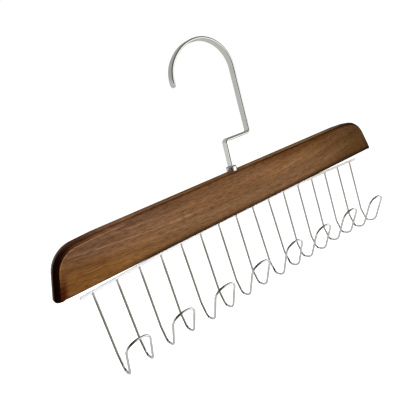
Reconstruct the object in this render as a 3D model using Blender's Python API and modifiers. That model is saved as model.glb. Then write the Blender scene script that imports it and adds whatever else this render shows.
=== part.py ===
"""Accessory hanger: a wooden bar on a swivelling strip hook, with a wire rack of eight belt hooks.

The origin is on the swivel axis, at the height of the arch's inner face, where the hanger sits on a
rail. +X runs along the bar, -Y is the front, which the belt hooks face, and +Z is up. Lengths are in
metres and angles in degrees.
"""
import math

import bpy
import bmesh
from mathutils import Matrix, Vector

# Fits that several pieces share
SEAT_GAP = 0.0003          # left between two faces that touch on the real hanger
SWIVEL_GAP = 0.0002        # radial running clearance of the swivel
SWIVEL_END_PLAY = 0.0003   # the stem's lift in its ferrule
CUT_OVERRUN = 0.002        # how far a cutter stands proud of the face that it enters

# Wooden bar
BAR_LENGTH = 0.357
BAR_HEIGHT = 0.0362
BAR_THICKNESS = 0.015
BAR_SHIFT = 0.002          # the bar's middle stands this far to the right of the swivel
SHOULDER_EASE_BEND = 0.160  # the top edge eases into the shoulder over this wide arc
SHOULDER_EASE_ANGLE = 6.0
SHOULDER_BEND = 0.023
END_SLANT = 17.8           # the ends spread outwards to the foot by this angle
BAR_EDGE_ROUND = 0.004     # rounding along the top edges and round the ends
BAR_FOOT_ROUND = 0.0012    # rounding along the bottom edges
BAR_FOOT_CORNER = 0.0012   # radius of the two bottom corners, seen from the front
BAR_FOOT_RUN = 0.004       # length over which the bottom edge sharpens, inside the rounded end

# Strip hook, bent from flat bar
STRIP_WIDTH = 0.007
STRIP_THICKNESS = 0.0025
STRIP_EDGE_ROUND = 0.0005
SHANK_LEAN = 4.0           # the shank and the leg lean to the side by these angles
LEG_LEAN = 2.7
SHANK_UPRIGHT = 0.001      # upright length of the strip above the ferrule
CRANK_HEIGHT = 0.0270      # from the bar's top to the middle of the level crank
CRANK_REACH = 0.0285       # from the swivel axis to the crank's outer corner
CRANK_BEND = 0.0028        # bend radius at both ends of the crank, at mid thickness
SHANK_BEND = 0.02          # gentle bend where the shank starts to lean
LEG_LENGTH = 0.0571        # from the crank's outer corner to the start of the arch
ARCH_RADII = (0.0283, 0.0364, 0.0266)
ARCH_SWEEPS = (94.3, 47.9, 46.5)

# Swivel: ferrule in the bar, riveted stem and washer in the ferrule
COLLAR_HEIGHT = 0.004      # shows above the bar's top
COLLAR_WALL = 0.0009
COLLAR_ROUND = 0.0006
FERRULE_DEPTH = 0.013      # lower end of the ferrule's tube, below the bar's top
FERRULE_WALL = 0.0011
STEM_RADIUS = 0.002
STEM_HEAD_HEIGHT = 0.003
STEM_BEVEL = 0.0003
STEM_SLOT_DEPTH = 0.0022
RECESS_DEPTH = 0.0034      # pocket in the collar's top, for the stem's head
WASHER_THICKNESS = 0.0008
RIVET_SPREAD = 0.0007      # how far the riveted end stands out past the shank
RIVET_HEIGHT = 0.0012
RIVET_ROOM = 0.001         # free depth of the bore under the rivet

# Rack rail, pegged to the bar's bottom
RAIL_RADIUS = 0.00125
RAIL_OVERHANG = 0.010      # free end past the last leg
RAIL_BOW = 0.0046          # the free ends hang this much lower than the pegged middle
PEG_RADIUS = 0.0016
PEG_BARB_DEPTH = 0.0004
PEG_LENGTH = 0.015
PEG_BARBS = 5
PEG_SPACING = 0.080

# Belt hooks, bent from wire in pairs of legs
HOOK_COUNT = 8
LEG_PITCH = 0.020
WIRE_RADIUS = 0.001
WIRE_LEG = 0.0552          # from the rail's centre to the kink
KINK_ANGLE = 17.0
KINK_BEND = 0.008
KINK_TO_CRADLE = 0.0092
CRADLE_REAR_BEND = 0.0036  # the J's bottom turns tightly behind, and widely in front
CRADLE_FLAT = 0.0026
CRADLE_FRONT_BEND = 0.0094
PRONG_LEAN = 29.5
PRONG_LENGTH = 0.0268
LOOP_CORNER = 0.0078       # bend radius where a prong turns into the loop's top
LOOP_RISE = 0.0030         # the loop's middle stands this much above its corners
LOOP_CROWN = 0.0135        # bend radius over the loop's middle
HOOK_LEAN = {2: 2.0, 5: -2.0, 8: -1.1}   # hooks that stand a little back (+) or forward (-)
LEG_TRIM_SHARES = {1: -0.026, 3: 0.016, 6: 0.01, 7: -0.012}   # hooks with longer or shorter legs

# Facets
ROUND_STEPS = 32
WIRE_RESOLUTION = 2
RAIL_RESOLUTION = 3
ARC_STEP = 7.5             # most that a bent strip turns from one facet to the next
WIRE_STEP = 15.0           # the same, for a bent wire
EDGE_RINGS = 5
FOOT_STEP = 27.0           # the same, round the bar's foot corners
FOOT_POINTS = 4
TIP_STEPS = 5
TIP_SWEEP = 80.0           # the half-round tip stops here, with a narrow flat end


# Shared helpers

def clear_scene():
    for old in list(bpy.data.objects):
        bpy.data.objects.remove(old, do_unlink=True)


def new_collection(name):
    collection = bpy.data.collections.new(name)
    bpy.context.scene.collection.children.link(collection)
    return collection


def finish_material(name, colour, roughness, metallic):
    material = bpy.data.materials.new(name)
    material.use_nodes = True
    shader = material.node_tree.nodes["Principled BSDF"]
    shader.inputs["Base Color"].default_value = (*colour, 1.0)
    shader.inputs["Roughness"].default_value = roughness
    shader.inputs["Metallic"].default_value = metallic
    return material


def add_object(name, data, collection, parent=None, location=(0, 0, 0)):
    made = bpy.data.objects.new(name, data)
    collection.objects.link(made)
    made.parent = parent
    made.location = location
    return made


def add_piece(name, data, collection, parent, location, finish):
    """A real sub-part, with its own copy of its finish."""
    made = add_object(name, data, collection, parent, location)
    data.materials.append(finish_material(name + "_finish", *finish))
    return made


def shade_round(mesh, angle=35):
    mesh.shade_smooth()
    mesh.set_sharp_from_angle(angle=math.radians(angle))


def profile_mesh(name, points, closed):
    """The outline of a turned piece, as edges in the XZ plane."""
    mesh = bpy.data.meshes.new(name)
    edges = [(i, i + 1) for i in range(len(points) - 1)]
    if closed:
        edges.append((len(points) - 1, 0))
    mesh.from_pydata([(r, 0, z) for r, z in points], edges, [])
    return mesh


def add_screw(made):
    screw = made.modifiers.new("turn", "SCREW")
    screw.axis = "Z"
    screw.steps = ROUND_STEPS
    screw.render_steps = ROUND_STEPS
    screw.use_merge_vertices = True
    screw.merge_threshold = SEAT_GAP / 30
    screw.use_smooth_shade = True


def quarter_round(r_centre, z_centre, radius, start, steps=4):
    """Points of a 90 degree arc that runs clockwise from the angle start."""
    angles = [math.radians(start - 90 * i / steps) for i in range(steps + 1)]
    return [(r_centre + radius * math.cos(a), z_centre + radius * math.sin(a)) for a in angles]


def add_cut(target, cutter):
    cutter.hide_render = True
    cutter.display_type = "WIRE"
    cut = target.modifiers.new("cut_" + cutter.name, "BOOLEAN")
    cut.operation = "DIFFERENCE"
    cut.solver = "EXACT"
    cut.object = cutter


def cylinder_cutter(name, radius, low, high, collection, parent, x=0.0):
    mesh = bpy.data.meshes.new(name)
    shape = bmesh.new()
    bmesh.ops.create_cone(
        shape, cap_ends=True, segments=ROUND_STEPS, radius1=radius, radius2=radius, depth=high - low)
    shape.to_mesh(mesh)
    shape.free()
    return add_object(name, mesh, collection, parent, (x, 0, (low + high) / 2))


class BendPath:
    """A bar or wire bent in one plane: it goes straight or round, and notes its points as it goes.

    A heading of 0 degrees is up, and a positive bend turns it clockwise.
    """

    def __init__(self, start, heading, step):
        self.points = [start]
        self.headings = [heading]
        self.heading = heading
        self.step = step

    def advance(self, distance, half_turn):
        across, up = self.points[-1]
        angle = math.radians(self.heading + half_turn)
        self.points.append((across + distance * math.sin(angle), up + distance * math.cos(angle)))
        self.heading += 2 * half_turn
        self.headings.append(self.heading)

    def straight(self, distance):
        if distance > 0:
            self.advance(distance, 0.0)

    def bend(self, radius, degrees):
        """A run of equal chords whose corners lie on the arc."""
        count = max(1, math.ceil(abs(degrees) / self.step))
        turn = degrees / count
        chord = 2 * radius * math.sin(math.radians(abs(turn)) / 2)
        for _ in range(count):
            self.advance(chord, turn / 2)


def bend_allowance(radius, degrees):
    """How much of a straight run a bend takes up, measured from the sharp corner."""
    return radius * math.tan(math.radians(abs(degrees)) / 2)


# Wooden bar

def edge_round():
    """The bar's edge rounding, which leaves at least a thin flat along the middle of the top."""
    return min(BAR_EDGE_ROUND, BAR_THICKNESS / 2 - SEAT_GAP)


def bar_outline():
    """Half of the bar's front outline, from the top middle to the bottom middle.

    Each entry is (x, z, inset x, inset z, rounding). z is measured from the bar's top, the insets
    lead to the edge of the flat face, and the rounding is how far the edge reaches into the
    thickness. The rounded ends run down to the bottom face, whose own edges are only eased.
    """
    soft = edge_round()
    slant = math.radians(END_SLANT)
    shoulder = BendPath((0.0, 0.0), 90.0, ARC_STEP)
    shoulder.bend(SHOULDER_EASE_BEND, SHOULDER_EASE_ANGLE)
    shoulder.bend(SHOULDER_BEND, 90 - END_SLANT - SHOULDER_EASE_ANGLE)
    outline = []
    for (x, z), heading in zip(shoulder.points, shoulder.headings):
        outward = math.radians(heading - 90)
        outline.append((x, z, soft * math.sin(outward), soft * math.cos(outward), soft))
    foot = BendPath(shoulder.points[-1], shoulder.heading, FOOT_STEP)
    end_length = (BAR_HEIGHT + outline[-1][1]) / math.cos(slant)
    foot.straight(end_length - bend_allowance(BAR_FOOT_CORNER, 90 + END_SLANT))
    foot.bend(BAR_FOOT_CORNER, 90 + END_SLANT)
    outline += [(x, z, soft / math.cos(slant), 0.0, soft) for x, z in foot.points[1:]]
    corner = foot.points[-1][0]
    for i in range(1, FOOT_POINTS + 1):
        share = i / FOOT_POINTS
        outline.append((corner - (soft + BAR_FOOT_RUN) * share, -BAR_HEIGHT,
                        soft / math.cos(slant) * (1 - share), -BAR_FOOT_ROUND * share,
                        soft + (BAR_FOOT_ROUND - soft) * share))
    shift = BAR_LENGTH / 2 - max(entry[0] for entry in outline)
    outline = [(x + shift, *rest) for x, *rest in outline]
    top = (0.0, 0.0, 0.0, soft, soft)
    bottom = (0.0, -BAR_HEIGHT, 0.0, -BAR_FOOT_ROUND, BAR_FOOT_ROUND)
    return [top] + outline + [bottom]


def bar_mesh():
    """A loft of outlines: each ring is the front outline drawn in by its own share of the rounding."""
    right = bar_outline()
    left = [(-x, z, -inset_x, inset_z, rounding) for x, z, inset_x, inset_z, rounding in right[-2:0:-1]]
    outline = right + left
    angles = [math.pi / 2 * i / EDGE_RINGS for i in range(EDGE_RINGS + 1)]
    sections = [(-1, a) for a in reversed(angles)] + [(1, a) for a in angles]
    shape = bmesh.new()
    rings = []
    for side, angle in sections:
        ring = []
        for x, z, inset_x, inset_z, rounding in outline:
            share = 1 - math.cos(angle)
            depth = BAR_THICKNESS / 2 - rounding * (1 - math.sin(angle))
            ring.append(shape.verts.new((x - inset_x * share, side * depth, z - inset_z * share)))
        rings.append(ring)
    for front, back in zip(rings, rings[1:]):
        for i in range(len(outline)):
            j = (i + 1) % len(outline)
            shape.faces.new((front[i], front[j], back[j], back[i]))
    shape.faces.new(rings[0])
    shape.faces.new(list(reversed(rings[-1])))
    bmesh.ops.recalc_face_normals(shape, faces=shape.faces)
    mesh = bpy.data.meshes.new("wood_bar")
    shape.to_mesh(mesh)
    shape.free()
    return mesh


def stem_head_radius():
    """The stem's head reaches as far as the corners of the strip that it holds."""
    return math.hypot(STRIP_WIDTH / 2, STRIP_THICKNESS / 2)


def recess_radius():
    return stem_head_radius() + SWIVEL_GAP


def collar_radius():
    return recess_radius() + COLLAR_WALL


def collar_seat_depth():
    """The collar sits on a flat sunk in the bar's rounded top, deep enough to be flat all round."""
    reach = collar_radius() - (BAR_THICKNESS / 2 - edge_round())
    reach = min(max(reach, 0.0), edge_round())
    return edge_round() - math.sqrt(edge_round() ** 2 - reach ** 2) + SEAT_GAP


def ferrule_tube_radius():
    return STEM_RADIUS + SWIVEL_GAP + FERRULE_WALL


def washer_top():
    return -FERRULE_DEPTH - SEAT_GAP


def rivet_top():
    return washer_top() - WASHER_THICKNESS - SEAT_GAP


def peg_places():
    return {"rack_peg_left": -PEG_SPACING / 2, "rack_peg_right": PEG_SPACING / 2}


def make_bar(collection, cutters, rack):
    bar = add_piece("wood_bar", bar_mesh(), collection, rack, (BAR_SHIFT, 0, 0),
                    ((0.17, 0.075, 0.03), 0.35, 0.0))
    bore_floor = rivet_top() - RIVET_HEIGHT - RIVET_ROOM
    add_cut(bar, cylinder_cutter("collar_seat", collar_radius() + SEAT_GAP, -collar_seat_depth(), CUT_OVERRUN,
                                 cutters, rack))
    add_cut(bar, cylinder_cutter("swivel_bore", ferrule_tube_radius() + SEAT_GAP, bore_floor, CUT_OVERRUN,
                                 cutters, rack))
    for name, x in peg_places().items():
        top = -BAR_HEIGHT + PEG_LENGTH + SEAT_GAP
        add_cut(bar, cylinder_cutter(name + "_hole", PEG_RADIUS + SEAT_GAP, -BAR_HEIGHT - CUT_OVERRUN, top,
                                     cutters, rack, x))
    shade_round(bar.data)
    return bar


# Strip hook

def hook_path():
    """Centreline of the strip in the XZ plane, from its foot in the stem's slot to the tip.

    z is measured from the bar's top.
    """
    foot = COLLAR_HEIGHT - RECESS_DEPTH + SWIVEL_END_PLAY + STEM_HEAD_HEIGHT - STEM_SLOT_DEPTH + SEAT_GAP
    path = BendPath((0.0, foot), 0.0, ARC_STEP)
    path.straight(COLLAR_HEIGHT + SHANK_UPRIGHT - foot)
    path.bend(SHANK_BEND, SHANK_LEAN)
    across, up = path.points[-1]
    crank_turn = 90 - SHANK_LEAN
    leg_turn = 90 - LEG_LEAN
    rise = (CRANK_HEIGHT - up) / math.cos(math.radians(SHANK_LEAN))
    corner = across + rise * math.sin(math.radians(SHANK_LEAN))
    path.straight(rise - bend_allowance(CRANK_BEND, crank_turn))
    path.bend(CRANK_BEND, crank_turn)
    path.straight(CRANK_REACH - corner - bend_allowance(CRANK_BEND, crank_turn)
                  - bend_allowance(CRANK_BEND, leg_turn))
    path.bend(CRANK_BEND, -leg_turn)
    path.straight(LEG_LENGTH - bend_allowance(CRANK_BEND, leg_turn))
    for radius, sweep in zip(ARCH_RADII, ARCH_SWEEPS):
        path.bend(radius, -sweep)
    return path.points


def seat_height():
    """Height of the arch's inner face over the bar's top."""
    return max(up for _, up in hook_path()) - STRIP_THICKNESS / 2


def cut_back(centre, distance):
    """The centreline without its last stretch of this length."""
    kept = list(centre)
    while distance > 0:
        end = kept.pop()
        chord = end - kept[-1]
        if chord.length > distance:
            kept.append(end - chord.normalized() * distance)
            break
        distance -= chord.length
    return kept


def strip_mesh():
    """A ribbon along the centreline, as wide as the strip, with a half-round tip."""
    centre = [Vector((x, 0, z)) for x, z in hook_path()]
    half_width = STRIP_WIDTH / 2
    rows = [(point, half_width) for point in cut_back(centre, half_width)]
    for i in range(1, TIP_STEPS + 1):
        angle = math.radians(TIP_SWEEP) * i / TIP_STEPS
        point = cut_back(centre, half_width * (1 - math.sin(angle)))[-1]
        rows.append((point, half_width * math.cos(angle)))
    shape = bmesh.new()
    last = None
    for point, half in rows:
        pair = [shape.verts.new(point + Vector((0, side * half, 0))) for side in (-1, 1)]
        if last:
            shape.faces.new((last[0], last[1], pair[1], pair[0]))
        last = pair
    bmesh.ops.recalc_face_normals(shape, faces=shape.faces)
    mesh = bpy.data.meshes.new("hook_strip")
    shape.to_mesh(mesh)
    shape.free()
    return mesh


def make_strip(collection, hook):
    strip = add_piece("hook_strip", strip_mesh(), collection, hook, (0, 0, 0), ((0.78, 0.78, 0.76), 0.12, 1.0))
    thick = strip.modifiers.new("thickness", "SOLIDIFY")
    thick.thickness = STRIP_THICKNESS
    thick.offset = 0
    thick.use_even_offset = True
    edge = strip.modifiers.new("soft_edges", "BEVEL")
    edge.width = STRIP_EDGE_ROUND
    edge.segments = 2
    edge.limit_method = "ANGLE"
    edge.angle_limit = math.radians(50)
    shade_round(strip.data, 50)
    return strip


# Swivel

def make_ferrule(collection, rack):
    """Collar and tube in one turned piece, with a pocket for the stem's head."""
    outer = collar_radius()
    tube = ferrule_tube_radius()
    bore = STEM_RADIUS + SWIVEL_GAP
    pocket = recess_radius()
    floor = COLLAR_HEIGHT - RECESS_DEPTH
    seat = SEAT_GAP - collar_seat_depth()
    profile = [(pocket, COLLAR_HEIGHT)]
    profile += quarter_round(outer - COLLAR_ROUND, COLLAR_HEIGHT - COLLAR_ROUND, COLLAR_ROUND, 90)
    profile += [(outer, seat), (tube, seat), (tube, -FERRULE_DEPTH), (bore, -FERRULE_DEPTH),
                (bore, floor), (pocket, floor)]
    ferrule = add_piece("swivel_ferrule", profile_mesh("swivel_ferrule", profile, True), collection, rack,
                        (0, 0, 0), ((0.8, 0.8, 0.78), 0.1, 1.0))
    add_screw(ferrule)
    return ferrule


def make_stem(collection, cutters, hook):
    """Slotted head, shank and riveted end. The head's slot holds the strip's foot."""
    head_low = COLLAR_HEIGHT - RECESS_DEPTH + SWIVEL_END_PLAY
    head_high = head_low + STEM_HEAD_HEIGHT
    top = rivet_top()
    low = top - RIVET_HEIGHT
    head = stem_head_radius()
    rivet = STEM_RADIUS + RIVET_SPREAD
    profile = [(0, head_high), (head - STEM_BEVEL, head_high), (head, head_high - STEM_BEVEL),
               (head, head_low), (STEM_RADIUS, head_low), (STEM_RADIUS, top), (rivet, top),
               (rivet, low + STEM_BEVEL), (rivet - STEM_BEVEL, low), (0, low)]
    stem = add_piece("hook_stem", profile_mesh("hook_stem", profile, False), collection, hook, (0, 0, 0),
                     ((0.6, 0.6, 0.58), 0.25, 1.0))
    add_screw(stem)
    mesh = bpy.data.meshes.new("stem_slot")
    shape = bmesh.new()
    bmesh.ops.create_cube(shape, size=1)
    shape.to_mesh(mesh)
    shape.free()
    slot_low = head_high - STEM_SLOT_DEPTH
    slot_high = head_high + CUT_OVERRUN
    mesh.transform(Matrix.Diagonal((STRIP_THICKNESS + 2 * SEAT_GAP, 2 * (stem_head_radius() + CUT_OVERRUN),
                                    slot_high - slot_low, 1)))
    slot = add_object("stem_slot", mesh, cutters, hook, (0, 0, (slot_low + slot_high) / 2))
    add_cut(stem, slot)
    return stem


def make_washer(collection, hook):
    top = washer_top()
    low = top - WASHER_THICKNESS
    bore = STEM_RADIUS + SEAT_GAP
    outer = ferrule_tube_radius()
    profile = [(bore, top), (outer, top), (outer, low), (bore, low)]
    washer = add_piece("stem_washer", profile_mesh("stem_washer", profile, True), collection, hook, (0, 0, 0),
                       ((0.55, 0.5, 0.38), 0.35, 1.0))
    add_screw(washer)
    return washer


# Rack

def leg_place(number):
    """X of a leg, counted from 1 at the left."""
    return (number - HOOK_COUNT - 0.5) * LEG_PITCH


def rail_half_length():
    return leg_place(2 * HOOK_COUNT) + RAIL_OVERHANG


def rail_height(x):
    """Height of the rail's centre. It is straight between its pegs and hangs down past them."""
    pegged = -BAR_HEIGHT - SEAT_GAP - RAIL_RADIUS
    return pegged - RAIL_BOW * (x / rail_half_length()) ** 2


def wire_curve(name, points, radius, resolution):
    curve = bpy.data.curves.new(name, "CURVE")
    curve.dimensions = "3D"
    curve.bevel_depth = radius
    curve.bevel_resolution = resolution
    curve.use_fill_caps = True
    spline = curve.splines.new("POLY")
    spline.points.add(len(points) - 1)
    for spot, point in zip(spline.points, points):
        spot.co = (*point, 1)
    spline.use_smooth = True
    return curve


def make_rail(collection, rack):
    half = rail_half_length()
    count = 2 * HOOK_COUNT + 2
    places = [-half + 2 * half * i / count for i in range(count + 1)]
    points = [(x, 0, rail_height(x)) for x in places]
    return add_piece("rack_rail", wire_curve("rack_rail", points, RAIL_RADIUS, RAIL_RESOLUTION), collection,
                     rack, (0, 0, 0), ((0.7, 0.7, 0.66), 0.15, 1.0))


def make_peg(name, x, collection, rack):
    """A barbed pin: each barb is a cone that widens downwards and ends in a step."""
    low = rail_height(x) + RAIL_RADIUS + SEAT_GAP
    high = -BAR_HEIGHT + PEG_LENGTH
    pitch = (high - low) / (PEG_BARBS + 2)
    core = PEG_RADIUS - PEG_BARB_DEPTH
    profile = [(0, high), (core, high)]
    for i in range(1, PEG_BARBS + 1):
        profile += [(PEG_RADIUS, high - pitch * i), (core, high - pitch * i)]
    profile += [(core, low), (0, low)]
    peg = add_piece(name, profile_mesh(name, profile, False), collection, rack, (x, 0, 0),
                    ((0.5, 0.5, 0.5), 0.35, 1.0))
    add_screw(peg)
    return peg


def hook_side(number):
    """One half of a belt hook seen from the side, as (forward, up) from the rail's centre."""
    path = BendPath((0.0, -RAIL_RADIUS - SEAT_GAP), 180.0, WIRE_STEP)
    leg = WIRE_LEG * (1 + LEG_TRIM_SHARES.get(number, 0.0))
    path.straight(leg - RAIL_RADIUS - SEAT_GAP - bend_allowance(KINK_BEND, KINK_ANGLE))
    path.bend(KINK_BEND, -KINK_ANGLE)
    path.straight(KINK_TO_CRADLE)
    path.bend(CRADLE_REAR_BEND, 90 - path.heading)
    path.straight(CRADLE_FLAT)
    path.bend(CRADLE_FRONT_BEND, PRONG_LEAN - path.heading)
    return path.points


def hook_loop():
    """The loop in front, from one prong's foot to the other, as (across, along the prong)."""
    corner_turn = 90 - math.degrees(math.atan2(LOOP_RISE, LEG_PITCH / 2))
    crown_turn = 180 - 2 * corner_turn
    slope = math.hypot(LOOP_RISE, LEG_PITCH / 2)
    path = BendPath((0.0, 0.0), 0.0, WIRE_STEP)
    path.straight(PRONG_LENGTH - bend_allowance(LOOP_CORNER, corner_turn))
    path.bend(LOOP_CORNER, corner_turn)
    path.straight(slope - bend_allowance(LOOP_CORNER, corner_turn) - bend_allowance(LOOP_CROWN, crown_turn))
    path.bend(LOOP_CROWN, crown_turn)
    path.straight(slope - bend_allowance(LOOP_CORNER, corner_turn) - bend_allowance(LOOP_CROWN, crown_turn))
    path.bend(LOOP_CORNER, corner_turn)
    path.straight(PRONG_LENGTH - bend_allowance(LOOP_CORNER, corner_turn))
    return path.points


def hook_points(number):
    """Centreline of a belt hook, from the top of its left leg to the top of its right leg."""
    left = leg_place(2 * number - 1)
    side = hook_side(number)
    foot_forward, foot_up = side[-1]
    lean = math.radians(PRONG_LEAN)
    flat = [(0.0, forward, up) for forward, up in side]
    flat += [(across, foot_forward + along * math.sin(lean), foot_up + along * math.cos(lean))
             for across, along in hook_loop()[1:-1]]
    flat += [(LEG_PITCH, forward, up) for forward, up in reversed(side)]
    left_height = rail_height(left)
    right_height = rail_height(left + LEG_PITCH)
    turn = Matrix.Rotation(math.radians(HOOK_LEAN.get(number, 0.0)), 4, "X")
    points = []
    for across, forward, up in flat:
        share = across / LEG_PITCH
        height = left_height * (1 - share) + right_height * share
        points.append(Vector((left + across, 0, height)) + turn @ Vector((0, -forward, up)))
    return points


def make_belt_hook(number, collection, rack):
    name = "belt_hook_" + str(number)
    return add_piece(name, wire_curve(name, hook_points(number), WIRE_RADIUS, WIRE_RESOLUTION), collection,
                     rack, (0, 0, 0), ((0.7, 0.7, 0.66), 0.15, 1.0))


def build():
    clear_scene()
    collection = new_collection("accessory_hanger")
    cutters = new_collection("cutters")
    bar_top = -seat_height()
    hook = add_object("hook_axis", None, collection, None, (0, 0, bar_top))
    rack = add_object("swivel_axis", None, collection, None, (0, 0, bar_top))
    make_strip(collection, hook)
    make_stem(collection, cutters, hook)
    make_washer(collection, hook)
    make_bar(collection, cutters, rack)
    make_ferrule(collection, rack)
    make_rail(collection, rack)
    for name, x in peg_places().items():
        make_peg(name, x, collection, rack)
    for number in range(1, HOOK_COUNT + 1):
        make_belt_hook(number, collection, rack)
    print("seat to bar top", round(-bar_top, 5), "bar bottom", round(bar_top - BAR_HEIGHT, 5))


build()
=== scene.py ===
# %% [markdown]
# # A wooden accessory hanger, finished
# The hanger is a stained bar on a swivelling strip hook, with a wire rack of belt hooks under it.
# The packed solids are loaded first and stay where they are. Every piece made below takes its place
# from them and rides on one of their two bodies, so that it follows the swivel.

# %% Load the packed solids
import math

import bpy
import bmesh
from mathutils import Matrix, Vector


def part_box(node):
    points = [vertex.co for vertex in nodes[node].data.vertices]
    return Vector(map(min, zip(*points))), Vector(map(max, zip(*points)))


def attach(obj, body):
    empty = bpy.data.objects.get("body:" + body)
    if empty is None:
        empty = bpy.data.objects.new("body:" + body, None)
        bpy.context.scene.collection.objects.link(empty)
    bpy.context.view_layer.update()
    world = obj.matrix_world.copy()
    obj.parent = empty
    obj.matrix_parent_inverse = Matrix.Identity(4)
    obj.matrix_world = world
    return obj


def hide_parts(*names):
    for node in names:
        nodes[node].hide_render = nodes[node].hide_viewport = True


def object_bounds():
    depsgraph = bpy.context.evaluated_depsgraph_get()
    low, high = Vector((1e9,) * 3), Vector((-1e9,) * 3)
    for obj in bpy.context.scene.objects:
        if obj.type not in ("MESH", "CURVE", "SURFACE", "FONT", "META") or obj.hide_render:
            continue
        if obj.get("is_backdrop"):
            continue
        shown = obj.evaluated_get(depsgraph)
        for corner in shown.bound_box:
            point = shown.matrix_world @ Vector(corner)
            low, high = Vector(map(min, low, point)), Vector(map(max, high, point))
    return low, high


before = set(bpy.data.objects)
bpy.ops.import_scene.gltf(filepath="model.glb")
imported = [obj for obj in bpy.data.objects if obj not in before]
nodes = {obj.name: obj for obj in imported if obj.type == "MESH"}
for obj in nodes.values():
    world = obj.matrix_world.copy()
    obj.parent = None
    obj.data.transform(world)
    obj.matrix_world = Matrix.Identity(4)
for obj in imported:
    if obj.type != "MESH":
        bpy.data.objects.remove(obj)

cad_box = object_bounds()
print("size in mm", [round(1000 * side, 1) for side in cad_box[1] - cad_box[0]])

# %% [markdown]
# ## The camera
# The photograph is taken from the left, a little above the bar, with the camera turned so that the
# hanger seems to tilt. Its place was solved from the legs, the bar's corners and the arch. A Track
# To constraint could aim it, but that leaves out the roll, so its matrix is written here. A camera
# looks along its own -Z: the direction of sight, the sideways and the upward direction are worked
# out first and then become the columns of the matrix. The view transform is Standard, so that a
# white ground comes out white, as it does in the photograph.

# %% Place the camera
CAMERA_PLACE = Vector((-0.2100, -0.3034, -0.05341))
CAMERA_YAW = math.radians(29.958)
CAMERA_PITCH = math.radians(12.957)
CAMERA_ROLL = math.radians(-17.889)
SENSOR_WIDTH = 36
FOCAL_PIXELS = 420.58
PICTURE_PIXELS = 416
NEAREST_SEEN = 0.01

sight = Vector((math.sin(CAMERA_YAW) * math.cos(CAMERA_PITCH),
                math.cos(CAMERA_YAW) * math.cos(CAMERA_PITCH), -math.sin(CAMERA_PITCH)))
sideways = Vector((math.cos(CAMERA_YAW), -math.sin(CAMERA_YAW), 0))
upward = sideways.cross(sight)
turned_side = math.cos(CAMERA_ROLL) * sideways + math.sin(CAMERA_ROLL) * upward
turned_up = -math.sin(CAMERA_ROLL) * sideways + math.cos(CAMERA_ROLL) * upward

camera = bpy.data.objects.new("camera", bpy.data.cameras.new("camera"))
bpy.context.scene.collection.objects.link(camera)
bpy.context.scene.camera = camera
camera.data.sensor_width = SENSOR_WIDTH
camera.data.lens = SENSOR_WIDTH * (FOCAL_PIXELS / PICTURE_PIXELS)
camera.data.clip_start = NEAREST_SEEN
bpy.context.scene.view_settings.view_transform = "Standard"
turn = Matrix((turned_side, turned_up, -sight)).transposed().to_4x4()
camera.matrix_world = Matrix.Translation(CAMERA_PLACE) @ turn
print("lens", round(camera.data.lens, 2), "mm")

# %% [markdown]
# ## Writing a finish as an expression
# A finish is a small program made of nodes. Drawing it node by node hides the sum that it works
# out, so one class wraps an output and lends it Python's operators: a product of two outputs then
# adds a Math node. The reflected forms are there too, so that 1 - mask works.

# %% Wrap the sockets
class Output:
    """One output in a node tree, which can stand in a sum."""

    def __init__(self, tree, socket):
        self.tree = tree
        self.socket = socket

    def maths(self, operation, first, second):
        return self.tree.add("ShaderNodeMath", {"operation": operation}, {0: first, 1: second})

    def __add__(self, other):
        return self.maths("ADD", self, other)

    __radd__ = __add__

    def __sub__(self, other):
        return self.maths("SUBTRACT", self, other)

    def __rsub__(self, other):
        return self.maths("SUBTRACT", other, self)

    def __mul__(self, other):
        return self.maths("MULTIPLY", self, other)

    __rmul__ = __mul__

    def __truediv__(self, other):
        return self.maths("DIVIDE", self, other)

    def __rtruediv__(self, other):
        return self.maths("DIVIDE", other, self)


print("operators ready:", [name for name in vars(Output) if name.startswith("__r")])

# %% [markdown]
# ## Any other node
# A second class holds the node tree. Its method add makes any other node: it takes the node's type,
# its settings, which are set first, and then the values or links of its inputs. A soft step turns a
# length into a mask: 0 below the first place, 1 above the second, and smooth in between. A band is
# a step up and a step down again. A colour ramp could do both, but it only reads 0 to 1, and these
# read metres.

# %% Add nodes to a tree
class Tree:
    """A node tree, of a material or of the sky."""

    def __init__(self, tree):
        self.nodes = tree.nodes
        self.links = tree.links

    def feed(self, socket, value):
        if isinstance(value, Output):
            self.links.new(value.socket, socket)
        elif hasattr(value, "__len__") and len(value) == 3 and len(socket.default_value) == 4:
            socket.default_value = (*value, 1)
        else:
            socket.default_value = value

    def add(self, kind, settings=None, values=None, output=0):
        made = self.nodes.new(kind)
        for name, setting in (settings or {}).items():
            setattr(made, name, setting)
        for name, value in (values or {}).items():
            self.feed(made.inputs[name], value)
        return Output(self, made.outputs[output])

    def split(self, vector):
        """The three parts of a vector, one by one."""
        first = self.add("ShaderNodeSeparateXYZ", {}, {"Vector": vector})
        return [Output(self, socket) for socket in first.socket.node.outputs]

    def step(self, value, low, high):
        return self.add("ShaderNodeMapRange", {"interpolation_type": "SMOOTHSTEP"},
                        {"Value": value, "From Min": low, "From Max": high})

    def band(self, value, start, full, fading, gone):
        """1 from full to fading, and 0 before start and after gone."""
        return self.step(value, start, full) * (1 - self.step(value, fading, gone))


print("node methods ready:", [name for name in vars(Tree) if not name.startswith("_")])

# %% [markdown]
# ## What most finishes share
# Noise stretched along one direction looks like grain or like the marks of drawing. It is read in
# the object's own space, which needs no unwrapping. Mixing two colours needs a Mix node, because a
# Math node would turn them grey. Tinge multiplies a colour where a mask is 1, as a second wipe of
# stain does.

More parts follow.
